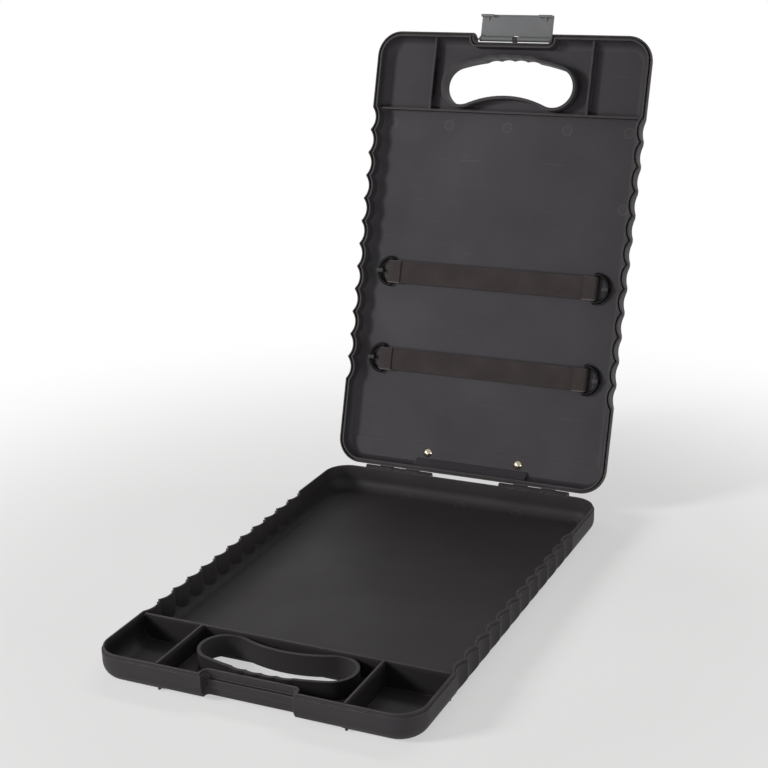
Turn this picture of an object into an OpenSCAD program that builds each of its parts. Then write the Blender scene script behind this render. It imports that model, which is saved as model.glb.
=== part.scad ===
// Storage clipboard box, standing open: a tray with a fluted wall, a lid with a
// handle, a latch and elastic straps, and a clip on the lid's outer face.
// Origin: centre of the tray's underside. +X right, +Y to the hinge, +Z up.
// Lid, latch, straps and clip are modelled closed on the tray, then swung open.

/* [Box outline] */
// Outer width of tray and lid
box_w = 258; // [254:1:264]
// Outer length of tray and lid
box_l = 397; // [390:1:410]
// Radius of the four corners seen from above
corner_r = 22; // [18:1:26]
// Number of flutes on each long side
flute_n = 12; // [8:1:12]
// Distance from one flute to the next
flute_pitch = 21; // [20.5:0.5:21.5]
// Depth of a flute below the wall line
flute_depth = 3.8; // [2.5:0.1:3.9]
// Radius of a flute
flute_r = 14.8; // [14.4:0.1:15]
// Distance of the first flute from the front edge
flute_start = 69; // [68:0.5:70]

/* [Tray] */
// Height of the tray up to the ledge where the lid lands
tray_h = 21; // [19:0.5:24]
// Height of the tongue above the ledge
tongue_h = 2.5; // [2:0.1:2.7]
// Distance of the tongue from the outer face
tongue_in = 1.2; // [1.2:0.05:1.3]
// Thickness of the tongue
tongue_t = 1.1; // [0.9:0.05:1.1]
// Thickness of the tray floor
tray_floor = 2.2; // [1.8:0.1:2.6]
// Radius of the tray's outer bottom edge
tray_edge_r = 12; // [10:0.5:12]
// Height of the underside between the two front feet
foot_h = 4; // [3:0.1:4.2]

/* [Lid] */
// Height of the lid from its rim to its outer face
lid_h = 14.5; // [14:0.5:16]
// Gap between the ledge and the lid's rim
rim_gap = 0.3; // [0.2:0.05:0.4]
// Thickness of the lid's skirt outside the groove
skirt_t = 1; // [0.9:0.05:1]
// Depth of the groove that takes the tongue
groove_d = 3; // [2.9:0.1:3.3]
// Width of the bead inside the groove
bead_t = 1.5; // [1.3:0.1:1.7]
// Extra width of the groove beside the hinge, where the bead swings past the tongue
bead_back = 0.45; // [0.4:0.05:0.6]
// Thickness of the lid's panel
lid_panel = 2; // [1.8:0.1:2.2]
// Radius of the lid's outer edge
lid_edge_r = 12; // [11:0.5:12]
// Radius of the lid's inner edge
lid_inner_r = 8; // [7:0.5:8.5]
// Distance from the lid's rear wall at which its floor starts to slope
ramp_in = 9; // [7:0.5:10]
// Distance of the finger pocket's edge from the hinge edge
pocket_in = 9.5; // [8.5:0.5:10.5]
// Height of the finger pocket in the rear wall
pocket_h = 8.5; // [7.5:0.5:9]
// Angle to which the lid opens on its stop
open_angle = 108; // [104:1:110]

/* [Compartments] */
// Distance of the cross divider from the front edge
divider_front = 67.5; // [67:0.5:68.5]
// Distance of the short dividers from the middle
divider_x = 74.4; // [72:0.4:78]
// Thickness of the dividers and ribs
divider_t = 1.6; // [1.4:0.1:2]
// Distance of the lid's cross rib from the front edge
rib_front = 68.9; // [67.5:0.1:69.5]
// Height of the ribs inside the lid
rib_h = 8; // [6:0.5:8.5]

/* [Handle] */
// Half of the distance between the handle's end rounds
grip_x = 43.5; // [41:0.5:45]
// Radius of the handle's end rounds
grip_r = 17.5; // [17:0.5:18]
// Distance of the end rounds from the front edge
grip_end = 46.2; // [45.6:0.1:46.4]
// Distance of the opening's front edge from the front edge of the box
grip_near = 22.2; // [21.8:0.1:22.8]
// Distance of the opening's rear edge from the front edge of the box
grip_far = 54.7; // [53:0.1:55.5]
// Thickness of the collar round the handle opening
collar_t = 2.4; // [2:0.1:2.6]
// Distance between two finger grooves
finger_pitch = 12.4; // [11.6:0.1:13]
// Depth of a finger groove
finger_depth = 1.3; // [0.8:0.1:1.5]

/* [Hinge] */
// Radius of the hinge knuckles
knuckle_r = 3.4; // [3.2:0.1:3.5]
// Length of one knuckle
knuckle_w = 13; // [12:0.5:13.5]
// Distance of the inner end of a hinge from the middle
hinge_x = 33; // [32:0.5:36]
// Diameter of the hinge pins
hinge_pin_d = 3; // [2.6:0.1:3.2]
// Height of the heel that stops the lid, below its knuckle
heel_h = 1.2; // [0.8:0.1:1.4]
// Radial play of every pin in its bore
pin_play = 0.05; // [0.02:0.01:0.09]
// Gap between pieces that pass each other
gap = 0.3; // [0.25:0.05:0.35]

/* [Latch] */
// Width of the recess for the latch
recess_w = 73; // [72:0.5:76]
// Depth of the recess for the latch
recess_d = 8; // [7.8:0.1:8.2]
// Radius of the recess corners
recess_r = 3; // [2:0.5:3.5]
// Width of the latch
latch_w = 67; // [65:0.5:69]
// Length of the latch from its pin to its free edge
latch_l = 21.5; // [20.5:0.5:22]
// Thickness of the latch plate
latch_t = 2; // [1.8:0.1:2.2]
// Diameter of the latch pin
latch_pin_d = 2; // [1.8:0.1:2.2]
// Radius of the latch barrel
latch_barrel_r = 2.3; // [2.1:0.1:2.4]
// Distance of the latch pin from the front edge
latch_pin_in = 3.5; // [3.3:0.1:3.7]
// Width of one hook on the latch
hook_w = 12; // [9:0.5:13]
// Distance of the hooks from the latch's sides
hook_in = 0.3; // [0:0.1:3]
// Height of a hook's tooth
tooth_h = 2; // [1.8:0.1:2.1]
// Depth of the rib that the hooks hold
catch_d = 1.6; // [1.4:0.1:1.7]
// Height of the rib that the hooks hold
catch_h = 6.3; // [5:0.1:6.8]

/* [Straps] */
// Width of the elastic webbing
strap_w = 20; // [16:1:20]
// Thickness of the elastic webbing
strap_t = 1.4; // [1.2:0.1:1.5]
// Distance of the upper strap from the hinge edge
strap_upper = 179.5; // [176:0.5:186]
// Distance of the lower strap from the hinge edge
strap_lower = 99; // [95:0.5:106]
// Length of the webbing that is folded back and sewn
strap_seam = 10; // [8:0.5:12]
// Distance of a ring's bar from the side of the box
ring_in = 31; // [30.5:0.5:34]
// Radius of a ring's bow
ring_r = 12.5; // [11.5:0.5:12.5]
// Thickness of a ring's wire
ring_wire = 3; // [2.8:0.1:3]
// Thickness of the hook that holds a ring
hook_t = 1.5; // [1.3:0.1:1.8]

/* [Clip] */
// Length of the clip's base plate
clip_w = 104; // [100:1:108]
// Depth of the clip's base plate
clip_d = 22; // [20:0.5:23]
// Thickness of the clip's sheet
clip_t = 1.2; // [1:0.1:1.3]
// Distance of the base plate from the hinge edge
clip_in = 11.5; // [11:0.5:12.5]
// Distance of the pin from the base plate's rear edge
clip_pin_in = 13; // [12.5:0.5:13.5]
// Length of the clamp plate
jaw_w = 100; // [96:1:104]
// Reach of the clamp plate's jaw edge from the pin
jaw_reach = 16; // [15:0.5:18]
// Reach of the thumb lever from the pin
lever_reach = 22; // [20:0.5:24]
// Reach of the bend in the thumb lever from the pin
lever_bend = 13; // [12:0.5:14]
// Inner radius of the clamp plate's crown over the pin
crown_r = 6.2; // [6:0.1:6.6]
// Diameter of the clip's pin
clip_pin_d = 3; // [2.6:0.1:3.2]
// Distance of the two ears from the middle
clip_ear_x = 24; // [20:0.5:28]
// Distance of the rivets from the middle
rivet_x = 44; // [42:0.5:46]
// Distance of the rivets from the hinge edge
rivet_in = 16.4; // [16:0.2:18]
// Diameter of a rivet's shank
rivet_d = 4; // [3.5:0.1:4.2]
// Diameter of a rivet's dome inside the lid
rivet_head_d = 8.5; // [7.5:0.1:9]
// Diameter of a rivet's flat head on the clip
rivet_flat_d = 7; // [6:0.5:7.5]
// Diameter of the spring's wire
spring_wire = 1.3; // [1:0.1:1.4]
// Number of turns of the spring
spring_turns = 7; // [5:1:9]

/* [Hidden] */
$fn = 96;
side = [-1, 1];
half_w = box_w / 2;
half_l = box_l / 2;
front_y = -half_l;
tray_top = tray_h + tongue_h;
tray_wall = tongue_in + tongue_t;
lid_z = tray_h + rim_gap;
lid_top = lid_z + lid_h;
lid_floor_z = lid_top - lid_panel;
// Groove is as wide as the tongue, with the same play on both sides
groove_w = tongue_t + 2 * (tongue_in - skirt_t);
lid_wall = skirt_t + groove_w + bead_t;
// Pieces that are joined reach this far into each other
bond = 0.5;

divider_y = front_y + divider_front;
divider_top = tray_top - 0.5;
rib_y = front_y + rib_front;
rib_z = lid_floor_z - rib_h;
grip_y = front_y + grip_end;
grip_front = front_y + grip_near;
grip_back = front_y + grip_far;
collar_top = tray_h - 0.2;

hinge_y = half_l + knuckle_r + gap;
hinge_z = tray_h;
hinge_w = 5 * knuckle_w;
hinge_mid = hinge_x + hinge_w / 2;
// The heel stands this far out of its knuckle's round
heel_out = 0.1;

recess_x = recess_w / 2;
recess_y = front_y + recess_d;
latch_pin_y = front_y + latch_pin_in;
latch_pin_z = lid_z + 8.3;
latch_plate_y = latch_pin_y - 1.8;
latch_end_z = latch_pin_z - latch_l;
latch_arm_w = 3;
latch_cut_w = latch_arm_w + 1.4;
latch_lip_h = 1.2;
latch_pin_l = recess_w + 6;
catch_z = latch_end_z + tooth_h + 2 * gap;
hook_x = latch_w / 2 - hook_in - hook_w / 2;
gusset_t = 1.2;

ring_x = half_w - ring_in;
ring_z = lid_floor_z - 3.3;
// Room between a ring's wire and the webbing's loop
loop_gap = 0.1;
loop_in = ring_wire / 2 + loop_gap;
loop_out = loop_in + strap_t;
// A ring's hook stands inside its bow and reaches out just past the wire's middle
hook_leg = 3;
hook_depth = 3;
hook_reach = ring_wire / 2 + gap + hook_leg;
hook_bar = hook_reach + 0.5;

clip_y0 = half_l - clip_in - clip_d;
clip_top = lid_top + clip_t;
clip_pin_y = half_l - clip_in - clip_pin_in;
clip_pin_z = clip_top + 4.2;
ear_r = 4;
web_r = 3.6;
web_x = clip_ear_x - clip_t - gap;
clip_pin_l = 2 * clip_ear_x + 5;
rivet_y = half_l - rivet_in;
rivet_dome_h = 2.4;
// Panel is thicker beside the hinge, and slopes between the rivets
step_in = 24;
step_h = 1;
ramp_x = 54;
spring_r = 3.2;
spring_pitch = spring_wire + 0.6;

// Shared outlines, seen from above

// Rectangle with four rounded corners
module rounded_plan(w, l, r) {
    square([w - 2 * r, l], center = true);
    square([w, l - 2 * r], center = true);
    for (sx = side, sy = side)
        translate([sx * (w / 2 - r), sy * (l / 2 - r)]) circle(r = r);
}

// Flutes of both long sides, grown by d
module flutes(d) {
    for (s = side, i = [0 : flute_n - 1])
        translate([s * (half_w + flute_r - flute_depth),
                front_y + flute_start + (i + 0.5) * flute_pitch])
            circle(r = flute_r + d);
}

// Recess for the latch in the front wall, grown by d
module recess(d) {
    r = recess_r + d;
    x = recess_x + d;
    outside = 20;
    l = recess_d + d + outside;
    translate([-x, front_y - outside]) square([2 * x, l - r]);
    translate([-x + r, front_y - outside]) square([2 * (x - r), l]);
    for (s = side) translate([s * (x - r), recess_y + d - r]) circle(r = r);
}

// Outline of tray and lid, d inside their outer face
module outline(d) {
    difference() {
        rounded_plan(box_w - 2 * d, box_l - 2 * d, corner_r - d);
        flutes(d);
        recess(d);
    }
}

// Handle opening, grown by d: end rounds joined by a front and a rear arc.
// The arcs cross the rounds by a hair, so that they meet in one clean edge.
module grip(d) {
    hair = 0.05;
    h = grip_y - grip_front;
    front_r = (h * h + grip_x * grip_x - grip_r * grip_r) / (2 * (h - grip_r));
    front_c = grip_front + front_r;
    b = grip_back - grip_y;
    rear_r = (grip_x * grip_x + b * b - grip_r * grip_r) / (2 * (grip_r - b));
    rear_c = grip_back + rear_r;
    // Direction from the front arc's centre through an end round
    u = [grip_x, grip_y - front_c] / (front_r - grip_r);
    corner = [grip_x, grip_y] + 2 * grip_r * u;
    difference() {
        intersection() {
            translate([0, front_c]) circle(r = front_r + d - hair, $fn = 360);
            polygon([[0, rear_c], [grip_x, grip_y], corner, [-corner[0], corner[1]],
                [-grip_x, grip_y]]);
        }
        translate([0, rear_c]) circle(r = rear_r - d + hair, $fn = 240);
    }
    for (s = side) translate([s * grip_x, grip_y]) circle(r = grip_r + d);
    // Four finger grooves in the front edge
    groove_r = (finger_pitch * finger_pitch / 4 + finger_depth * finger_depth)
        / (2 * finger_depth);
    for (k = [-1.5 : 1 : 1.5]) {
        a = k * finger_pitch / front_r * 180 / PI;
        translate([0, front_c] + (front_r + finger_depth - groove_r) * [sin(a), -cos(a)])
            circle(r = groove_r + d);
    }
}

// Section of a block's edge: w wide and h high, with its lower corner rounded
module edge_section(w, h, r) {
    translate([0, r]) square([w, h - r]);
    square([w - r, h]);
    intersection() {
        translate([w - r, r]) circle(r = r);
        square([w, h]);
    }
}

// Block with upright corners of radius rc and its bottom edge rounded by r
module rounded_block(w, l, h, rc, r) {
    cx = w / 2 - rc;
    cy = l / 2 - rc;
    for (s = side) {
        mirror([s < 0 ? 1 : 0, 0, 0]) translate([0, cy, 0]) rotate([90, 0, 0])
            linear_extrude(2 * cy) edge_section(w / 2, h, r);
        mirror([0, s < 0 ? 1 : 0, 0]) translate([-cx, cy, 0]) rotate([90, 0, 90])
            linear_extrude(2 * cx) edge_section(rc, h, r);
    }
    for (sx = side, sy = side)
        mirror([sx < 0 ? 1 : 0, 0, 0]) mirror([0, sy < 0 ? 1 : 0, 0])
            translate([cx, cy, 0]) rotate_extrude(angle = 90) edge_section(rc, h, r);
}

// Tray's body, d inside its outer faces and bottom inside its underside
module tray_block(d, bottom) {
    translate([0, 0, bottom])
        rounded_block(box_w - 2 * d, box_l - 2 * d, tray_top, corner_r - d, tray_edge_r - d);
}

// Lid's body, d inside its outer faces and top inside its outer panel
module lid_block(d, top, r) {
    translate([0, 0, lid_top - top]) mirror([0, 0, 1])
        rounded_block(box_w - 2 * d, box_l - 2 * d, lid_h, corner_r - d, r);
}

// Swings a piece of the closed lid to the angle where the lid stands open
module lid_place() {
    translate([0, hinge_y, hinge_z]) rotate([-open_angle, 0, 0])
        translate([0, -hinge_y, -hinge_z]) children();
}

// Cylinder along X about the middle x
module bar_x(x, y, z, d, l) {
    translate([x, y, z]) rotate([0, 90, 0]) cylinder(d = d, h = l, center = true);
}

// Knuckle number k of the hinge on side s, from its section about the pin
module knuckle(s, k) {
    w = knuckle_w - gap;
    translate([s * (hinge_x + (k + 0.5) * knuckle_w) - w / 2, hinge_y, hinge_z])
        rotate([90, 0, 90]) linear_extrude(w) {
            circle(r = knuckle_r);
            children();
        }
}

// Blocks from a knuckle to the wall of the tray and of the lid
module tray_arm() {
    reach = hinge_y - half_l + bond;
    translate([-reach, -knuckle_r]) square([reach, knuckle_r]);
}
module lid_arm() {
    reach = hinge_y - half_l + bond;
    translate([-reach, rim_gap]) square([reach, knuckle_r - rim_gap]);
    // Heel that lands on the tray's rear wall when the lid is open
    rotate(open_angle) translate([-knuckle_r - heel_out, -knuckle_r - heel_h])
        square([knuckle_r + heel_out, knuckle_r + heel_h]);
}

module hinge_bores() {
    for (s = side)
        bar_x(s * hinge_mid, hinge_y, hinge_z, hinge_pin_d + 2 * pin_play, hinge_w + 2);
}

// Tray

module base_tray() {
    color([0.2, 0.19, 0.2]) difference() {
        union() {
            difference() {
                union() {
                    difference() {
                        tray_block(0, 0);
                        tray_cavity();
                    }
                    dividers();
                    handle_floor();
                    translate([0, 0, foot_h]) linear_extrude(collar_top - foot_h)
                        grip(collar_t);
                }
                translate([0, 0, -1]) linear_extrude(tray_top + 2) {
                    flutes(0);
                    recess(0);
                }
                ledge();
                catch_band();
            }
            catch_rib();
            for (s = side, k = [0, 2, 4]) knuckle(s, k) tray_arm();
        }
        underside_step();
        translate([0, 0, -1]) linear_extrude(tray_top + 2) grip(0);
        hinge_bores();
    }
}

// Room inside the tray, with the flutes and the recess standing into it
module tray_cavity() {
    difference() {
        tray_block(tray_wall, tray_floor);
        linear_extrude(2 * tray_top) {
            flutes(tray_wall);
            recess(tray_wall);
        }
    }
}

// Cuts the wall's top back to the tongue
module ledge() {
    translate([0, 0, tray_h]) linear_extrude(tongue_h + 1) difference() {
        square([box_w + 2, box_l + 2], center = true);
        outline(tongue_in);
    }
}

// Floor of the handle section, raised between the front feet
module handle_floor() {
    intersection() {
        translate([-divider_x, front_y, foot_h])
            cube([2 * divider_x, divider_front, tray_floor]);
        tray_block(1, 1);
    }
}

module underside_step() {
    foot_x = divider_x - 3;
    translate([-foot_x, front_y - 5, -1])
        cube([2 * foot_x, divider_front + 3, foot_h + 1]);
}

// Cross divider and two short ones; above the ledge they clear the lid's bead
module dividers() {
    intersection() {
        union() {
            translate([-half_w, divider_y - divider_t / 2, 1])
                cube([box_w, divider_t, divider_top - 1]);
            for (s = side) translate([s * divider_x - divider_t / 2, front_y, 1])
                cube([divider_t, divider_front, divider_top - 1]);
        }
        union() {
            difference() {
                tray_block(tray_wall - bond, 1);
                translate([-half_w, front_y, tray_h]) cube([box_w, box_l, tray_h]);
            }
            linear_extrude(divider_top) outline(lid_wall + gap);
        }
    }
}

// Rib under which the latch's hooks hold, and the set-back band above it
module catch_rib() {
    translate([-recess_x + 2, recess_y - catch_d, catch_z])
        cube([recess_w - 4, catch_d + bond, catch_h]);
}
module catch_band() {
    translate([-recess_x + recess_r, recess_y - 1, catch_z + catch_h])
        cube([recess_w - 2 * recess_r, 1 + tongue_in, tray_top]);
}

// Lid, modelled closed on the tray

module lid_shell() {
    color([0.24, 0.23, 0.24]) lid_place() difference() {
        union() {
            difference() {
                union() {
                    difference() {
                        lid_block(0, 0, lid_edge_r);
                        lid_cavity();
                    }
                    lid_ribs();
                    lid_ramp();
                    translate([0, 0, lid_z]) linear_extrude(lid_h - 1) grip(collar_t);
                }
                translate([0, 0, lid_z - 1]) linear_extrude(lid_h + 2) {
                    flutes(0);
                    recess(0);
                }
                rim_groove();
                finger_pocket();
            }
            latch_arm();
            for (s = side, k = [1, 3]) knuckle(s, k) lid_arm();
            for (s = side, y = [strap_upper, strap_lower]) ring_hook(s, half_l - y);
        }
        translate([0, 0, lid_z - 1]) linear_extrude(lid_h + 2) grip(0);
        hinge_bores();
        bar_x(0, latch_pin_y, latch_pin_z, latch_pin_d + 2 * pin_play, latch_pin_l + 1);
        for (s = side) translate([s * rivet_x, rivet_y, lid_floor_z - 2])
            cylinder(d = rivet_d + 2 * pin_play, h = lid_panel + 3);
    }
}

module lid_cavity() {
    difference() {
        lid_block(lid_wall, lid_panel, lid_inner_r);
        linear_extrude(2 * lid_top) {
            flutes(lid_wall);
            recess(lid_wall);
        }
        translate([-half_w, half_l - step_in, lid_floor_z - step_h])
            cube([box_w, step_in, lid_panel]);
    }
}

module rim_groove() {
    translate([0, 0, lid_z - 1]) linear_extrude(groove_d + 1) difference() {
        outline(skirt_t);
        intersection() {
            outline(skirt_t + groove_w);
            translate([0, -bead_back]) outline(skirt_t + groove_w);
        }
    }
}

module lid_ribs() {
    intersection() {
        union() {
            translate([-half_w, rib_y - divider_t / 2, rib_z])
                cube([box_w, divider_t, rib_h + 1]);
            for (s = side) translate([s * divider_x - divider_t / 2, front_y, rib_z])
                cube([divider_t, rib_front, rib_h + 1]);
        }
        lid_block(lid_wall - bond, lid_panel - bond, lid_inner_r);
    }
}

// Slope inside the rear wall, and the finger pocket outside it
module lid_ramp() {
    wall_y = half_l - lid_wall;
    low_z = lid_z + groove_d + 0.5;
    translate([-ramp_x, 0, 0]) rotate([90, 0, 90]) linear_extrude(2 * ramp_x)
        polygon([[wall_y - ramp_in, lid_floor_z + bond], [wall_y, low_z], [wall_y + bond, low_z],
            [wall_y + bond, lid_floor_z + bond]]);
}
module finger_pocket() {
    translate([-ramp_x + 2, 0, 0]) rotate([90, 0, 90]) linear_extrude(2 * (ramp_x - 2))
        polygon([[half_l - pocket_in, lid_top], [half_l - pocket_in, lid_top + 2],
            [half_l + 2, lid_top + 2], [half_l + 2, lid_top - pocket_h],
            [half_l, lid_top - pocket_h]]);
}

// Middle arm that carries the latch pin
module latch_arm() {
    bar_x(0, latch_pin_y, latch_pin_z, 2 * latch_barrel_r, latch_arm_w);
    translate([-latch_arm_w / 2, latch_pin_y, latch_pin_z - latch_barrel_r])
        cube([latch_arm_w, recess_y + 1 - latch_pin_y, 2 * latch_barrel_r]);
}

// Hook that stands inside a ring's bow and reaches out over its wire
module ring_hook(s, y) {
    z0 = ring_z - ring_wire / 2 - gap - hook_t;
    translate([0, y - hook_depth / 2, z0]) mirror([s < 0 ? 1 : 0, 0, 0])
        translate([ring_x + ring_r - hook_reach, 0, 0]) {
            cube([hook_leg, hook_depth, lid_floor_z - z0 + bond]);
            cube([hook_bar, hook_depth, hook_t]);
        }
}

// Pins

module hinge_pin(s) {
    color("silver") bar_x(s * hinge_mid, hinge_y, hinge_z, hinge_pin_d, hinge_w - 1);
}
module hinge_pin_left() { hinge_pin(-1); }
module hinge_pin_right() { hinge_pin(1); }

module latch_pin() {
    color("silver") lid_place() bar_x(0, latch_pin_y, latch_pin_z, latch_pin_d, latch_pin_l);
}

// Latch, modelled closed over its rib and then swung up

module latch() {
    color([0.43, 0.44, 0.44]) lid_place()
        translate([0, latch_pin_y, latch_pin_z]) rotate([-90, 0, 0])
            translate([0, -latch_pin_y, -latch_pin_z]) latch_closed();
}

module latch_closed() {
    difference() {
        union() {
            bar_x(0, latch_pin_y, latch_pin_z, 2 * latch_barrel_r, latch_w);
            translate([-latch_w / 2, latch_plate_y - latch_t / 2, latch_end_z])
                cube([latch_w, latch_t, latch_l]);
            translate([-latch_w / 2, latch_plate_y - latch_t / 2, latch_end_z])
                cube([latch_w, latch_t + 1, latch_lip_h]);
            for (s = side) translate([s * hook_x, 0, 0]) latch_hook();
        }
        translate([-latch_cut_w / 2, latch_plate_y - 5, latch_pin_z - latch_barrel_r - 1])
            cube([latch_cut_w, 20, 20]);
        bar_x(0, latch_pin_y, latch_pin_z, latch_pin_d + 2 * pin_play, latch_w + 2);
    }
}

// Hook with a tooth that goes under the rib, and a gusset to the plate
module latch_hook() {
    y0 = latch_plate_y + latch_t / 2 - bond;
    tooth_l = recess_y - 2 * gap - y0;
    tooth_z = catch_z - gap - tooth_h;
    gusset_l = tooth_l - catch_d - 1;
    translate([-hook_w / 2, y0, tooth_z]) cube([hook_w, tooth_l, tooth_h]);
    translate([-gusset_t / 2, y0, tooth_z + tooth_h - bond]) rotate([90, 0, 90])
        linear_extrude(gusset_t) polygon([[0, 0], [gusset_l, 0], [0, 6]]);
}

// Straps and their rings

module strap_upper() { strap(half_l - strap_upper); }
module strap_lower() { strap(half_l - strap_lower); }

module strap(y) {
    color([0.22, 0.21, 0.2]) lid_place() translate([0, y + strap_w / 2, ring_z])
        rotate([90, 0, 0]) linear_extrude(strap_w)
            for (s = side) mirror([s < 0 ? 1 : 0, 0]) strap_half();
}

// Half of a strap's section, from the middle to its loop round a ring's bar
module strap_half() {
    translate([0, -loop_out]) square([ring_x, strap_t]);
    // Folded end: it leaves the wire at this slope and runs down to the seam
    a = 42;
    off = [-sin(a), cos(a)];
    down = [-cos(a), -sin(a)];
    fold_y = strap_t - loop_in;
    r0 = loop_in - 0.03;
    r1 = loop_out - 0.03;
    l0 = (r0 * cos(a) + loop_in + 0.05) / sin(a);
    l1 = (r1 * cos(a) - fold_y) / sin(a);
    translate([ring_x, 0]) {
        difference() {
            circle(r = loop_out);
            circle(r = loop_in);
            polygon([[0, 0], 9 * off, [-9, -9], [0, -9]]);
        }
        polygon([r0 * off - 0.4 * down, r1 * off - 0.4 * down, r1 * off + l1 * down,
            [-strap_seam, fold_y], [-strap_seam, -loop_in - 0.05], r0 * off + l0 * down]);
    }
}

// D-shaped wire ring, its bar towards the middle
module ring(s, y) {
    color([0.1, 0.1, 0.1]) lid_place() translate([s * ring_x, y, ring_z])
        mirror([s < 0 ? 1 : 0, 0, 0]) {
            rotate([0, 0, -90]) rotate_extrude(angle = 180)
                translate([ring_r, 0]) circle(d = ring_wire);
            rotate([90, 0, 0]) cylinder(d = ring_wire, h = 2 * ring_r, center = true);
            for (k = side) translate([0, k * ring_r, 0]) sphere(d = ring_wire);
        }
}
module ring_upper_left() { ring(-1, half_l - strap_upper); }
module ring_upper_right() { ring(1, half_l - strap_upper); }
module ring_lower_left() { ring(-1, half_l - strap_lower); }
module ring_lower_right() { ring(1, half_l - strap_lower); }

// Clip on the lid's outer face

module clip_base() {
    color("silver") lid_place() difference() {
        union() {
            translate([-clip_w / 2, clip_y0, lid_top]) cube([clip_w, clip_d, clip_t]);
            for (s = side) {
                x = s * clip_ear_x;
                bar_x(x, clip_pin_y, clip_pin_z, 2 * ear_r, clip_t);
                translate([x - clip_t / 2, clip_pin_y - ear_r, lid_top])
                    cube([clip_t, 2 * ear_r, clip_pin_z - lid_top]);
            }
        }
        bar_x(0, clip_pin_y, clip_pin_z, clip_pin_d + 2 * pin_play, clip_w);
        for (s = side) translate([s * rivet_x, rivet_y, lid_top - 1])
            cylinder(d = rivet_d + 2 * pin_play, h = clip_t + 2);
    }
}

module clip_jaw() {
    color("silver") lid_place() difference() {
        union() {
            translate([-jaw_w / 2, clip_pin_y, clip_pin_z]) rotate([90, 0, 90])
                linear_extrude(jaw_w) jaw_section();
            for (s = side) {
                bar_x(s * web_x, clip_pin_y, clip_pin_z, 2 * web_r, clip_t);
                translate([s * web_x - clip_t / 2, clip_pin_y - web_r, clip_pin_z])
                    cube([clip_t, 2 * web_r, crown_r + 0.2]);
            }
        }
        bar_x(0, clip_pin_y, clip_pin_z, clip_pin_d + 2 * pin_play, jaw_w + 2);
    }
}

// Section of the clamp plate about its pin: jaw edge, crown and thumb lever
module jaw_section() {
    t = clip_t;
    foot_z = 2.4;
    lever_z = foot_z + 3;
    out_r = crown_r + t;
    out_y = sqrt(out_r * out_r - foot_z * foot_z);
    in_y = sqrt(crown_r * crown_r - foot_z * foot_z);
    jaw_z = lid_top - clip_pin_z + 0.2;
    difference() {
        circle(r = out_r);
        circle(r = crown_r);
        translate([-2 * out_r, -2 * out_r]) square([4 * out_r, 2 * out_r + foot_z]);
    }
    polygon([[-out_y - 0.05, foot_z + 0.1], [-in_y + 0.05, foot_z + 0.1],
        [-jaw_reach + 1.5 * t, jaw_z + 1.3], [-jaw_reach + t, jaw_z], [-jaw_reach, jaw_z],
        [-jaw_reach + t / 2, jaw_z + 1.9]]);
    polygon([[in_y - 0.05, foot_z + 0.1], [lever_bend, foot_z + 1], [lever_reach, lever_z],
        [lever_reach, lever_z + t], [lever_bend - 0.4, foot_z + 1 + t],
        [out_y - 0.9, foot_z + 1 + t]]);
}

module clip_pin() {
    color("silver") lid_place() bar_x(0, clip_pin_y, clip_pin_z, clip_pin_d, clip_pin_l);
}

// Torsion spring on the pin: one leg on the base plate, one under the lever
function spring_line() = let (half = spring_turns * spring_pitch / 2, n = 8 * spring_turns)
    concat(
        [[-half, -9, -4.2 + spring_wire / 2], [-half, -5, -3.5], [-half, -1.5, -spring_r]],
        [for (i = [0 : n]) let (a = -90 + i * 45, x = -half + i * spring_pitch / 8)
            [x, spring_r * cos(a), spring_r * sin(a)]],
        [[half, 1.8, -2.9], [half, 3.9, -1.2], [half, 6, 0.9], [half, 8.5, 1.9],
            [half, 12, 2.45]]);

module clip_spring() {
    line = spring_line();
    n = len(line);
    m = 6;
    points = [for (i = [0 : n - 1])
        let (t = line[min(i + 1, n - 1)] - line[max(i - 1, 0)],
            u = cross(t, [1, 0, 0]) / norm(cross(t, [1, 0, 0])),
            v = cross(u, t) / norm(t))
        for (k = [0 : m - 1]) line[i]
            + spring_wire / 2 * (cos(k * 360 / m) * u + sin(k * 360 / m) * v)];
    faces = concat([[for (k = [0 : m - 1]) k]],
        [for (i = [0 : n - 2], k = [0 : m - 1]) let (a = i * m + k, b = i * m + (k + 1) % m)
            each [[a, a + m, b + m], [a, b + m, b]]],
        [[for (k = [m - 1 : -1 : 0]) (n - 1) * m + k]]);
    apart = [for (i = [0 : n - 1], j = [i + 5 : 1 : n - 1]) norm(line[i] - line[j])];
    echo(spring_gap_mm = min(apart) - spring_wire);
    color("silver") lid_place() translate([0, clip_pin_y, clip_pin_z])
        polyhedron(points, faces);
}

// Rivet: shank, head on the clip's plate and dome inside the lid
module clip_rivet(s) {
    head_h = 1.2;
    inner_z = lid_floor_z - step_h;
    r = rivet_head_d / 2;
    dome_r = (r * r + rivet_dome_h * rivet_dome_h) / (2 * rivet_dome_h);
    color([0.75, 0.7, 0.6]) lid_place() translate([s * rivet_x, rivet_y, 0]) {
        translate([0, 0, inner_z - 1]) cylinder(d = rivet_d, h = clip_top + 1 - inner_z);
        translate([0, 0, clip_top]) cylinder(d = rivet_flat_d, h = head_h);
        translate([0, 0, inner_z]) mirror([0, 0, 1]) intersection() {
            translate([0, 0, rivet_dome_h - dome_r]) sphere(r = dome_r);
            cylinder(d = 2 * rivet_head_d, h = 2 * rivet_dome_h);
        }
    }
}
module clip_rivet_left() { clip_rivet(-1); }
module clip_rivet_right() { clip_rivet(1); }

base_tray();
lid_shell();
hinge_pin_left();
hinge_pin_right();
latch();
latch_pin();
strap_upper();
strap_lower();
ring_upper_left();
ring_upper_right();
ring_lower_left();
ring_lower_right();
clip_base();
clip_jaw();
clip_pin();
clip_spring();
clip_rivet_left();
clip_rivet_right();
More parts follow.
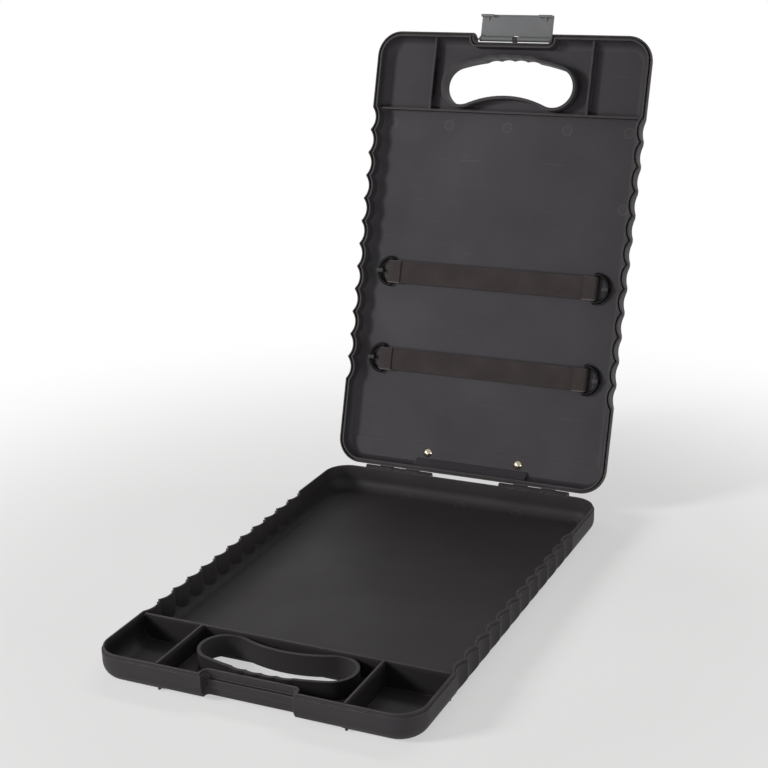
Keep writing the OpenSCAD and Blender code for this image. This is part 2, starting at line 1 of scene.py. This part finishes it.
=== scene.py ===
# Looks of the storage clipboard box. All lengths are in metres.
import bmesh
import bpy
import math
from mathutils import Matrix, Vector


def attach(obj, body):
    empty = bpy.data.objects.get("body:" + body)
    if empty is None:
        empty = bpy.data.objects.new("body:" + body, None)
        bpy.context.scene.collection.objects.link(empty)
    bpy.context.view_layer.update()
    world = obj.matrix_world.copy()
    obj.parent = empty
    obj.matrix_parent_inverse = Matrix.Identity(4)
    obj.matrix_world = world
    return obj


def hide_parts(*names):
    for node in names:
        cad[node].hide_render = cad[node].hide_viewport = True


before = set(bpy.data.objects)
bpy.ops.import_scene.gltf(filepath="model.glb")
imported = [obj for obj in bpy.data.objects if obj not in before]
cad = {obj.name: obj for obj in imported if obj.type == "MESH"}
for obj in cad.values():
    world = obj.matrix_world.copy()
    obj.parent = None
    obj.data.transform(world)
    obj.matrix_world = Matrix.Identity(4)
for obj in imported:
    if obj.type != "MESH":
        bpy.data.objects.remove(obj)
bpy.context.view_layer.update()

# Sizes of the box itself, as in part.scad, with heights for the closed lid
HINGE_Y = 0.2022
HINGE_Z = 0.021
OPEN_ANGLE = math.radians(108)
TRAY_FLOOR_Z = 0.0022
LID_FLOOR_Z = 0.0338
RING_Z = 0.0305
RING_BAR_X = 0.098
STRAP_Y = {"upper": 0.019, "lower": 0.0995}
STRAP_W = 0.020
STRAP_T = 0.0014
# Length of a strap's end that is sewn back, and outer radius of its loop round the ring's bar
STRAP_SEAM = 0.010
LOOP_OUT = 0.003

# Weave of the straps: distance between its ribs and between its warp threads
RIB_PITCH = 0.00125
RIB_DEPTH = 0.00006
WARP_PITCH = 0.0009

# Marks that the mould left: round ejector pins, and core holes beside the hooks of the rings, whose
# dark inside is painted shade
PIN_MARK_R = 0.0042
CORE_HOLE_R = 0.0011
CORE_X = RING_BAR_X + 0.0085
CORE_ABOVE_STRAP = 0.0033

# Brightness of the studio's walls as light on the object
STUDIO_LEVEL = 0.12
# Each lamp: name, place, point it aims at, width, height, watts
LAMPS = (
    ("left_key", (-1.5, -1.45, 0.95), (0, 0.15, 0.12), 0.5, 0.5, 29),
    ("front_left_fill", (-0.5, -2.4, 0.09), (0, 0.0, 0.1), 1.4, 0.16, 17),
    ("right_fill", (2.1, -0.3, 0.12), (0, 0.1, 0.1), 1.4, 0.22, 15),
    ("top_strip", (0, 1.2, 1.7), (0, 0.1, 0.1), 2.2, 0.4, 9),
)

# Moves a piece made on the closed lid to where the lid stands open
LID_SWING = (Matrix.Translation((0, HINGE_Y, HINGE_Z)) @ Matrix.Rotation(-OPEN_ANGLE, 4, "X")
             @ Matrix.Translation((0, -HINGE_Y, -HINGE_Z)))


def on_lid_floor(x, y):
    """A point of the open lid's inner face, from its place on the closed lid."""
    return tuple(LID_SWING @ Vector((x, y, LID_FLOOR_Z)))


# Camera, lamps and floor

def place_camera():
    """Stands where the fit to the box's edges in the photo puts the camera."""
    data = bpy.data.cameras.new("camera")
    camera = bpy.data.objects.new("camera", data)
    bpy.context.scene.collection.objects.link(camera)
    place = Vector((0.501572, -1.014079, 0.557346))
    right = Vector((0.9082907, 0.4173528, -0.0287174))
    up = Vector((-0.1221748, 0.3302912, 0.9359386))
    back = Vector((0.4001017, -0.8465958, 0.3509904))
    turn = Matrix((right, up, back)).transposed().to_4x4()
    camera.matrix_world = Matrix.Translation(place) @ turn
    data.sensor_width = 36
    data.lens = 73.5445
    data.shift_x = -0.00816
    data.shift_y = 0.07066
    data.clip_start = 0.05
    data.clip_end = 60
    bpy.context.scene.camera = camera


def softbox(name, place, aim, width, height, power):
    data = bpy.data.lights.new(name, "AREA")
    data.shape = "RECTANGLE"
    data.size = width
    data.size_y = height
    data.energy = power
    lamp = bpy.data.objects.new(name, data)
    bpy.context.scene.collection.objects.link(lamp)
    lamp.location = place
    lamp.rotation_euler = (Vector(aim) - Vector(place)).to_track_quat("-Z", "Y").to_euler()


def light_studio():
    """White walls to look at that give only a little, slightly warm light, and the lamps."""
    world = bpy.data.worlds.new("studio")
    bpy.context.scene.world = world
    world.use_nodes = True
    t = Tree(world.node_tree)
    seen = t.seen_rays()
    level = t.math("MULTIPLY_ADD", seen, 1 - STUDIO_LEVEL, STUDIO_LEVEL)
    tint = t.colours(seen, (1.0, 0.93, 0.88), (1, 1, 1))
    sky = t.node("ShaderNodeBackground", {"Color": tint, "Strength": level})
    t.node("ShaderNodeOutputWorld", {"Surface": sky})
    for lamp in LAMPS:
        softbox(*lamp)


def lay_floor():
    """A pale floor that takes the box's shadow and turns white away from it."""
    bm = bmesh.new()
    bmesh.ops.create_circle(bm, cap_ends=True, segments=96, radius=9)
    floor = mesh_object("studio_floor", bm)
    floor.location = (0, 0, -0.0002)
    finish = bpy.data.materials.new("pale_studio_floor")
    finish.use_nodes = True
    t = Tree(finish.node_tree)
    spot = t.node("ShaderNodeTexCoord").outputs["Object"]
    grain = t.node("ShaderNodeTexNoise", {"Vector": spot, "Scale": 3.0, "Detail": 2.0})
    paint = t.colours(grain.outputs["Fac"], (0.90, 0.90, 0.90), (0.94, 0.94, 0.94))
    near = t.node("ShaderNodeBsdfDiffuse", {"Color": paint, "Roughness": 0.5})
    far = t.node("ShaderNodeEmission", {"Color": (1, 1, 1, 1), "Strength": 1.0})
    reach = t.node("ShaderNodeVectorMath", {0: spot}, operation="LENGTH").outputs["Value"]
    fade = t.span(reach, 0.25, 0.75, 0.5, 1.0, smooth=True)
    white = t.math("MULTIPLY", fade, t.seen_rays())
    mix = t.node("ShaderNodeMixShader", {"Fac": white, 1: near, 2: far})
    t.node("ShaderNodeOutputMaterial", {"Surface": mix})
    floor.data.materials.append(finish)


# Node helpers

class Tree:
    """Adds nodes to a node tree and joins them."""

    def __init__(self, tree):
        self.tree = tree
        tree.nodes.clear()

    def feed(self, socket, value):
        """Joins a socket to an output or to a node's first output, or sets its constant."""
        if isinstance(value, bpy.types.NodeSocket):
            self.tree.links.new(value, socket)
        elif hasattr(value, "outputs"):
            self.tree.links.new(value.outputs[0], socket)
        else:
            socket.default_value = value

    def node(self, kind, inputs=None, **settings):
        n = self.tree.nodes.new(kind)
        for key, value in settings.items():
            setattr(n, key, value)
        for key, value in (inputs or {}).items():
            self.feed(n.inputs[key], value)
        return n

    def group(self, tree, inputs):
        return self.node("ShaderNodeGroup", inputs, node_tree=tree)

    def math(self, operation, a, b=0.0, c=0.0):
        return self.node("ShaderNodeMath", {0: a, 1: b, 2: c}, operation=operation).outputs[0]

    def span(self, value, low, high, to_low=0.0, to_high=1.0, smooth=False):
        """Maps low..high to to_low..to_high and holds it there."""
        return self.node("ShaderNodeMapRange", {"Value": value, "From Min": low, "From Max": high,
                                                "To Min": to_low, "To Max": to_high},
                         interpolation_type="SMOOTHSTEP" if smooth else "LINEAR").outputs["Result"]

    def colours(self, fac, a, b):
        """Colour a where fac is 0, colour b where it is 1."""
        n = self.node("ShaderNodeMix", {"Factor": fac}, data_type="RGBA")
        for socket, value in ((n.inputs[6], a), (n.inputs[7], b)):
            self.feed(socket, value if isinstance(value, bpy.types.NodeSocket) else (*value, 1))
        return n.outputs[2]

    def seen_rays(self):
        """1 for what the camera sees, straight or by a mirror or through a clear piece."""
        path = self.node("ShaderNodeLightPath")
        seen = self.math("MAXIMUM", path.outputs["Is Camera Ray"], path.outputs["Is Transmission Ray"])
        return self.math("MAXIMUM", seen, path.outputs["Is Glossy Ray"])


def new_group(name, inputs, outputs):
    tree = bpy.data.node_groups.new(name, "ShaderNodeTree")
    kinds = {"value": "NodeSocketFloat", "vector": "NodeSocketVector"}
    for socket, kind, default in inputs:
        made = tree.interface.new_socket(socket, in_out="INPUT", socket_type=kinds[kind])
        if default is not None:
            made.default_value = default
    for socket, kind in outputs:
        tree.interface.new_socket(socket, in_out="OUTPUT", socket_type=kinds[kind])
    t = Tree(tree)
    enter = tree.nodes.new("NodeGroupInput")
    leave = tree.nodes.new("NodeGroupOutput")
    return t, enter.outputs, leave.inputs


def group_mould_grain():
    """Spark-eroded mould texture: Height for a bump and a slow Tone."""
    t, given, out = new_group("mould_grain",
                              [("Position", "vector", None), ("Grain Size", "value", 0.0005)],
                              [("Height", "value"), ("Tone", "value")])
    place = given["Position"]
    scale = t.math("DIVIDE", 1.0, given["Grain Size"])
    fine = t.node("ShaderNodeTexNoise", {"Vector": place, "Scale": scale, "Detail": 2.0,
                                         "Roughness": 0.6})
    pits = t.node("ShaderNodeTexVoronoi", {"Vector": place, "Scale": t.math("MULTIPLY", scale, 0.7)},
                  feature="SMOOTH_F1")
    height = t.math("MULTIPLY_ADD", pits.outputs["Distance"], 0.6,
                    t.math("MULTIPLY", fine.outputs["Fac"], 0.6))
    t.feed(out["Height"], height)
    slow = t.node("ShaderNodeTexNoise", {"Vector": place, "Scale": 14.0, "Detail": 4.0,
                                         "Roughness": 0.55})
    t.feed(out["Tone"], t.span(slow.outputs["Fac"], 0.3, 0.7))
    return t.tree


def group_edge_wear_and_highlight():
    """Where edges turn: Edge is a patchy mask for worn edges and painted edge highlights, Normal
    softens the edge.
    """
    t, given, out = new_group("edge_wear_and_highlight",
                              [("Position", "vector", None), ("Width", "value", 0.0006)],
                              [("Edge", "value"), ("Normal", "vector")])
    soft = t.node("ShaderNodeBevel", {"Radius": given["Width"]}, samples=6)
    flat = t.node("ShaderNodeNewGeometry").outputs["Normal"]
    along = t.node("ShaderNodeVectorMath", {0: soft, 1: flat}, operation="DOT_PRODUCT")
    turn = t.span(along.outputs["Value"], 0.995, 0.86)
    patch = t.node("ShaderNodeTexNoise", {"Vector": given["Position"], "Scale": 90.0, "Detail": 3.0})
    t.feed(out["Edge"], t.math("MULTIPLY", turn, t.span(patch.outputs["Fac"], 0.2, 0.55)))
    t.feed(out["Normal"], soft)
    return t.tree


def group_scuffs():
    """Fine handling scratches in three directions, and specks of dust."""
    t, given, out = new_group("scuffs",
                              [("Position", "vector", None), ("Amount", "value", 0.5)],
                              [("Scratch", "value"), ("Dust", "value")])
    lines = 0.0
    for k, (turn, squeeze) in enumerate(((0.4, 30), (1.9, 22), (2.7, 40))):
        place = t.node("ShaderNodeMapping", {"Vector": given["Position"],
                                             "Rotation": (0.3 * k, 0.2, turn),
                                             "Scale": (1, squeeze, squeeze * 0.5)})
        streak = t.node("ShaderNodeTexNoise", {"Vector": place, "Scale": 22.0, "Detail": 2.0})
        line = t.span(streak.outputs["Fac"], 0.71, 0.76)
        lines = t.math("MAXIMUM", line, lines)
    t.feed(out["Scratch"], t.math("MULTIPLY", lines, given["Amount"]))
    speck = t.node("ShaderNodeTexNoise", {"Vector": given["Position"], "Scale": 700.0, "Detail": 1.0})
    drift = t.node("ShaderNodeTexNoise", {"Vector": given["Position"], "Scale": 9.0, "Detail": 2.0})
    dust = t.math("MULTIPLY", t.span(speck.outputs["Fac"], 0.74, 0.8),
                  t.span(drift.outputs["Fac"], 0.45, 0.7))
    t.feed(out["Dust"], t.math("MULTIPLY", dust, given["Amount"]))
    return t.tree


def group_pin_marks():
    """Round marks of ejector pins in a row along X: Rim of each circle and its Disc."""
    t, given, out = new_group("pin_marks",
                              [("Position", "vector", None), ("Centre", "vector", None),
                               ("Step", "value", 0.05), ("Half Row", "value", 0.12),
                               ("Radius", "value", 0.004)],
                              [("Rim", "value"), ("Disc", "value")])
    away = t.node("ShaderNodeVectorMath", {0: given["Position"], 1: given["Centre"]},
                  operation="SUBTRACT")
    parts = t.node("ShaderNodeSeparateXYZ", {0: away})
    half = t.math("MULTIPLY", given["Step"], 0.5)
    wrapped = t.math("WRAP", parts.outputs[0], half, t.math("MULTIPLY", half, -1.0))
    inside = t.math("LESS_THAN", t.math("ABSOLUTE", parts.outputs[0]), given["Half Row"])
    local = t.node("ShaderNodeCombineXYZ", {0: wrapped, 1: parts.outputs[1], 2: parts.outputs[2]})
    far = t.node("ShaderNodeVectorMath", {0: local}, operation="LENGTH").outputs["Value"]
    ratio = t.math("DIVIDE", far, given["Radius"])
    off = t.math("ABSOLUTE", t.math("SUBTRACT", ratio, 1.0))
    t.feed(out["Rim"], t.math("MULTIPLY", t.span(off, 0.16, 0.02), inside))
    t.feed(out["Disc"], t.math("MULTIPLY", t.span(ratio, 1.04, 0.96), inside))
    return t.tree


# Finishes

def start_finish(name):
    finish = bpy.data.materials.new(name)
    finish.use_nodes = True
    t = Tree(finish.node_tree)
    place = t.node("ShaderNodeTexCoord").outputs["Object"]
    return finish, t, place


def end_finish(t, **inputs):
    named = {key.replace("_", " "): value for key, value in inputs.items()}
    shader = t.node("ShaderNodeBsdfPrincipled", named)
    t.node("ShaderNodeOutputMaterial", {"Surface": shader})


def moulded_finish(name, dark, light, wear_and_highlight, rough, grain=0.00045, marks=(), core_hole_shades=()):
    """Moulded plastic: grain, slow tone, edges painted lighter as part wear and part painted
    highlight, faint scratches and dust.
    Each of marks is a row of pin marks, as its middle, step and half length.
    Each of core_hole_shades is a pair of core holes, each a near-black disc of painted shade, as the
    middle between them and their distance."""
    finish, t, place = start_finish(name)
    texture = t.group(GRAIN, {"Position": place, "Grain Size": grain})
    edge = t.group(EDGE, {"Position": place, "Width": 0.0008})
    wear = t.group(SCUFFS, {"Position": place, "Amount": 0.5})
    colour = t.colours(texture.outputs["Tone"], dark, light)
    # Turning edges get the lighter colour: partly worn plastic, partly a painted highlight along each
    # edge.
    colour = t.colours(t.math("MULTIPLY", edge.outputs["Edge"], 0.9), colour, wear_and_highlight)
    colour = t.colours(t.math("MULTIPLY", wear.outputs["Scratch"], 0.3), colour, wear_and_highlight)
    colour = t.colours(t.math("MULTIPLY", wear.outputs["Dust"], 0.35), colour, (0.3, 0.29, 0.28))
    gloss = t.span(texture.outputs["Tone"], 0.0, 1.0, rough + 0.03, rough - 0.03)
    gloss = t.math("MULTIPLY_ADD", edge.outputs["Edge"], -0.05, gloss)
    height = t.math("MULTIPLY", texture.outputs["Height"], 0.35)
    for centre, step, half_row in marks:
        pins = t.group(PINS, {"Position": place, "Centre": centre, "Step": step,
                              "Half Row": half_row, "Radius": PIN_MARK_R})
        # The rim of each pin mark is painted lighter, a painted highlight ring; the mark's dip itself
        # is a bump.
        colour = t.colours(t.math("MULTIPLY", pins.outputs["Rim"], 0.32), colour, wear_and_highlight)
        height = t.math("MULTIPLY_ADD", pins.outputs["Disc"], -1.5, height)
        gloss = t.math("MULTIPLY_ADD", pins.outputs["Disc"], -0.05, gloss)
    # Each core hole is a near-black disc: painted shade for the dark inside of the hole.
    for centre, step in core_hole_shades:
        hole_shade = t.group(PINS, {"Position": place, "Centre": centre, "Step": step,
                              "Half Row": 1.2 * step, "Radius": CORE_HOLE_R})
        colour = t.colours(hole_shade.outputs["Disc"], colour, (0.003, 0.003, 0.003))
    bump = t.node("ShaderNodeBump", {"Strength": 0.5, "Distance": 0.00002, "Height": height,
                                     "Normal": edge.outputs["Normal"]})
    end_finish(t, Base_Color=colour, Roughness=gloss, Normal=bump, Specular_IOR_Level=0.2)
    return finish


def metal_finish(name, colour, rough, brushed=0.15):
    """Bare or plated metal with a fine grain along X and softened edges."""
    finish, t, place = start_finish(name)
    stretch = t.node("ShaderNodeMapping", {"Vector": place, "Scale": (1, 40, 40)})
    grain = t.node("ShaderNodeTexNoise", {"Vector": stretch, "Scale": 60.0, "Detail": 3.0})
    slow = t.node("ShaderNodeTexNoise", {"Vector": place, "Scale": 60.0, "Detail": 3.0})
    edge = t.group(EDGE, {"Position": place, "Width": 0.0003})
    tone = t.colours(slow.outputs["Fac"], [c * 0.86 for c in colour], colour)
    gloss = t.span(grain.outputs["Fac"], 0.3, 0.7, rough - brushed * 0.3, rough + brushed)
    bump = t.node("ShaderNodeBump", {"Strength": 0.15, "Distance": 0.00001,
                                     "Height": grain.outputs["Fac"],
                                     "Normal": edge.outputs["Normal"]})
    end_finish(t, Base_Color=tone, Roughness=gloss, Normal=bump, Metallic=1.0)
    return finish


def coated_wire_finish():
    """Black coat on the rings' wire, with a slight orange peel."""
    finish, t, place = start_finish("ring_black_coat")
    peel = t.node("ShaderNodeTexNoise", {"Vector": place, "Scale": 1400.0, "Detail": 2.0})
    slow = t.node("ShaderNodeTexNoise", {"Vector": place, "Scale": 200.0, "Detail": 3.0})
    colour = t.colours(slow.outputs["Fac"], (0.003, 0.0028, 0.0028), (0.007, 0.0062, 0.0060))
    gloss = t.span(slow.outputs["Fac"], 0.3, 0.7, 0.38, 0.5)
    bump = t.node("ShaderNodeBump", {"Strength": 0.2, "Distance": 0.00002,
                                     "Height": peel.outputs["Fac"]})
    end_finish(t, Base_Color=colour, Roughness=gloss, Normal=bump, Specular_IOR_Level=0.1)
    return finish


def webbing_finish():
    """Woven elastic: ribs across the band, a fine warp along it, and sewn ends painted a little
    lighter with much lighter selvedges, a painted highlight.
    """
    finish, t, place = start_finish("strap_elastic_webbing")
    parts = t.node("ShaderNodeSeparateXYZ", {0: place})
    along, across = parts.outputs[0], parts.outputs[1]
    ribs = t.math("SINE", t.math("MULTIPLY", along, 2 * math.pi / RIB_PITCH))
    warp = t.math("SINE", t.math("MULTIPLY", across, 2 * math.pi / WARP_PITCH))
    weave = t.math("MULTIPLY", ribs, warp)
    fuzz = t.node("ShaderNodeTexNoise", {"Vector": place, "Scale": 1800.0, "Detail": 3.0})
    slow = t.node("ShaderNodeTexNoise", {"Vector": place, "Scale": 45.0, "Detail": 3.0})
    tone = t.math("MULTIPLY_ADD", weave, 0.3, t.span(fuzz.outputs["Fac"], 0.2, 0.8))
    colour = t.colours(tone, (0.014, 0.011, 0.011), (0.059, 0.048, 0.047))
    faded = t.math("MULTIPLY", t.span(slow.outputs["Fac"], 0.4, 0.7), 0.3)
    colour = t.colours(faded, colour, (0.068, 0.056, 0.055))
    seam_x = RING_BAR_X - STRAP_SEAM
    sewn = t.span(t.math("ABSOLUTE", along), seam_x - 0.0003, seam_x)
    border = t.span(t.math("ABSOLUTE", across), STRAP_W * 0.475, STRAP_W * 0.505)
    # Painted highlight: the sewn ends a little lighter, and their selvedges much lighter where the
    # folds catch the light.
    colour = t.colours(t.math("MULTIPLY", sewn, 0.12), colour, (0.075, 0.064, 0.062))
    pale = t.math("MULTIPLY", t.math("MULTIPLY", sewn, border), 0.8)
    colour = t.colours(pale, colour, (0.15, 0.135, 0.125))
    height = t.math("MULTIPLY_ADD", weave, 0.4, fuzz.outputs["Fac"])
    bump = t.node("ShaderNodeBump", {"Strength": 0.7, "Distance": 0.00012, "Height": height})
    end_finish(t, Base_Color=colour, Roughness=0.85, Normal=bump, Sheen_Weight=0.05,
               Sheen_Roughness=0.5, Specular_IOR_Level=0.2)
    return finish


def thread_finish():
    """Twisted sewing thread."""
    finish, t, place = start_finish("seam_thread")
    twist = t.node("ShaderNodeTexWave", {"Vector": place, "Scale": 900.0, "Distortion": 1.0})
    colour = t.colours(twist.outputs["Fac"], (0.02, 0.018, 0.017), (0.07, 0.062, 0.057))
    bump = t.node("ShaderNodeBump", {"Strength": 0.5, "Distance": 0.00005,
                                     "Height": twist.outputs["Fac"]})
    end_finish(t, Base_Color=colour, Roughness=0.7, Normal=bump)
    return finish


# Meshes

def mesh_object(name, bm):
    mesh = bpy.data.meshes.new(name)
    bm.to_mesh(mesh)
    bm.free()
    piece = bpy.data.objects.new(name, mesh)
    bpy.context.scene.collection.objects.link(piece)
    return piece


def smooth(piece, angle):
    for face in piece.data.polygons:
        face.use_smooth = True
    piece.data.set_sharp_from_angle(angle=math.radians(angle))


def strap_path():
    """Middle line of a strap's section, from one sewn end to the other: x and z about the ring.
    The band runs behind the ring's bar, comes round it and is sewn down on its own front."""
    turn_r = LOOP_OUT - STRAP_T / 2
    level = -LOOP_OUT + STRAP_T * 1.5
    slope = math.radians(42)
    start = turn_r * (math.sin(slope) + 1 / math.tan(slope) * math.cos(slope))
    start = start - level / math.tan(slope)
    band_steps, turn_steps = 6, 16
    half = [((RING_BAR_X - start) * k / band_steps, level) for k in range(band_steps + 1)]
    for k in range(turn_steps + 1):
        a = math.pi / 2 + slope - (math.pi + slope) * k / turn_steps
        half.append((RING_BAR_X + turn_r * math.cos(a), turn_r * math.sin(a)))
    half.append((RING_BAR_X - STRAP_SEAM, -turn_r))
    left = [(-x, z) for x, z in reversed(half[1:])]
    return left + half


def strap_section():
    """Points round a strap's section: across the band and through it, with round selvedges."""
    half_w, half_t, round_in = STRAP_W / 2, STRAP_T / 2, 0.0004
    selvedge = [(-half_w + round_in - round_in * math.cos(u), half_t * math.sin(u))
                for u in [math.radians(v) for v in (-60, 0, 60)]]
    section = selvedge + [(-half_w + STRAP_W * k / 8, half_t) for k in range(1, 8)]
    return section + [(-w, -t) for w, t in selvedge] + [(half_w - STRAP_W * k / 8, -half_t)
                                                        for k in range(1, 8)]


def make_strap(name, y):
    """Woven band with its ribs and rounded selvedges in the mesh; its sewn ends lie a little wider."""
    mesh_step = 0.0004
    end_wider, end_shift = 0.035, 0.0003
    points = [Vector((x, 0, z)) for x, z in strap_path()]
    line = []
    for a, b in zip(points, points[1:]):
        steps = max(1, round((b - a).length / mesh_step))
        line += [a.lerp(b, k / steps) for k in range(steps)]
    line.append(points[-1])
    back, front = -LOOP_OUT + STRAP_T * 1.5, -LOOP_OUT + STRAP_T / 2
    section = strap_section()
    bm = bmesh.new()
    rows, run = [], 0.0
    for i, p in enumerate(line):
        ahead = (line[min(i + 1, len(line) - 1)] - line[max(i - 1, 0)]).normalized()
        out = Vector((ahead.z, 0, -ahead.x))
        if i:
            run += (p - line[i - 1]).length
        rib = RIB_DEPTH * math.sin(2 * math.pi * run / RIB_PITCH)
        folded = min(1.0, max(0.0, (back - p.z) / (back - front)))
        wide, shift = 1 + end_wider * folded, end_shift * folded
        rows.append([bm.verts.new(p + Vector((0, w * wide + shift, 0))
                                  + out * (t + math.copysign(rib, t) if abs(t) > 1e-6 else t))
                     for w, t in section])
    n = len(section)
    for a, b in zip(rows, rows[1:]):
        for k in range(n):
            bm.faces.new((a[k], a[(k + 1) % n], b[(k + 1) % n], b[k]))
    bm.faces.new(rows[0])
    bm.faces.new(reversed(rows[-1]))
    bmesh.ops.recalc_face_normals(bm, faces=bm.faces)
    band = mesh_object(name, bm)
    smooth(band, 60)
    band.matrix_world = LID_SWING @ Matrix.Translation((0, y, RING_Z))
    return band


def make_seams(name, y):
    """Two rows of thread at each end of a strap, through the fold."""
    stitches, first, pitch = 8, 0.0016, 0.0024
    thick, long = 0.00028, 0.0009
    level = -0.0031
    bm = bmesh.new()
    for side in (-1, 1):
        for row_x in (RING_BAR_X - 0.0085, RING_BAR_X - 0.0062):
            for k in range(stitches):
                w = -STRAP_W / 2 + first + k * pitch
                stitch = bmesh.ops.create_icosphere(bm, subdivisions=1, radius=1.0)["verts"]
                for v in stitch:
                    v.co = Vector((side * row_x + v.co.x * thick, w + v.co.y * long,
                                   level + v.co.z * thick))
    seam = mesh_object(name, bm)
    smooth(seam, 180)
    seam.matrix_world = LID_SWING @ Matrix.Translation((0, y, RING_Z))
    return seam


# Build

GRAIN = group_mould_grain()
EDGE = group_edge_wear_and_highlight()
SCUFFS = group_scuffs()
PINS = group_pin_marks()

place_camera()
light_studio()
lay_floor()

# Rows of pin marks as middle, step and half length, the last one a single mark
tray_marks = [((0, 0.1895, TRAY_FLOOR_Z), 0.0536, 0.13)]
lid_marks = [(on_lid_floor(0, -0.1174), 0.0563, 0.14), (on_lid_floor(0.115, -0.051), 0.5, 0.01)]
lid_core_hole_shades = [(on_lid_floor(CORE_X, y + CORE_ABOVE_STRAP), 2 * CORE_X) for y in STRAP_Y.values()]

# The tray takes the lid's charcoal plastic painted about a fifth darker: painted shade for the tray's
# floor and walls.
tray_plastic_painted_shade = moulded_finish("tray_charcoal_plastic_painted_shade", (0.025, 0.0225, 0.0245),
                              (0.033, 0.030, 0.0325), (0.120, 0.104, 0.092), 0.57,
                              marks=tray_marks)
lid_plastic = moulded_finish("lid_charcoal_plastic", (0.032, 0.029, 0.033), (0.041, 0.038, 0.043),
                             (0.135, 0.117, 0.102), 0.58, marks=lid_marks, core_hole_shades=lid_core_hole_shades)
latch_plastic = moulded_finish("latch_grey_plastic", (0.135, 0.138, 0.142), (0.195, 0.199, 0.204),
                               (0.22, 0.225, 0.222), 0.4, grain=0.0004)
pin_steel = metal_finish("drawn_pin_steel", (0.56, 0.56, 0.57), 0.3)
clip_chrome = metal_finish("clip_plated_steel", (0.78, 0.78, 0.79), 0.16, brushed=0.08)
spring_steel = metal_finish("spring_wire_steel", (0.5, 0.5, 0.51), 0.25)
rivet_nickel = metal_finish("rivet_nickel_plate", (0.42, 0.37, 0.29), 0.2, brushed=0.06)
ring_coat = coated_wire_finish()
webbing = webbing_finish()
thread = thread_finish()

FINISHES = {"base_tray": tray_plastic_painted_shade, "lid_shell": lid_plastic, "latch": latch_plastic,
            "hinge_pin_left": pin_steel, "hinge_pin_right": pin_steel, "latch_pin": pin_steel,
            "clip_base": clip_chrome, "clip_jaw": clip_chrome, "clip_pin": pin_steel,
            "clip_spring": spring_steel,
            "clip_rivet_left": rivet_nickel, "clip_rivet_right": rivet_nickel,
            "ring_upper_left": ring_coat, "ring_upper_right": ring_coat,
            "ring_lower_left": ring_coat, "ring_lower_right": ring_coat}
for name, finish in FINISHES.items():
    mesh = cad[name].data
    mesh.materials.clear()
    mesh.materials.append(finish)

for level, y in STRAP_Y.items():
    band = make_strap("webbing_" + level, y)
    band.data.materials.append(webbing)
    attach(band, "lid")
    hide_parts("strap_" + level)
    seam = make_seams("seams_" + level, y)
    seam.data.materials.append(thread)
    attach(seam, "lid")

bpy.context.scene.view_settings.view_transform = "Standard"
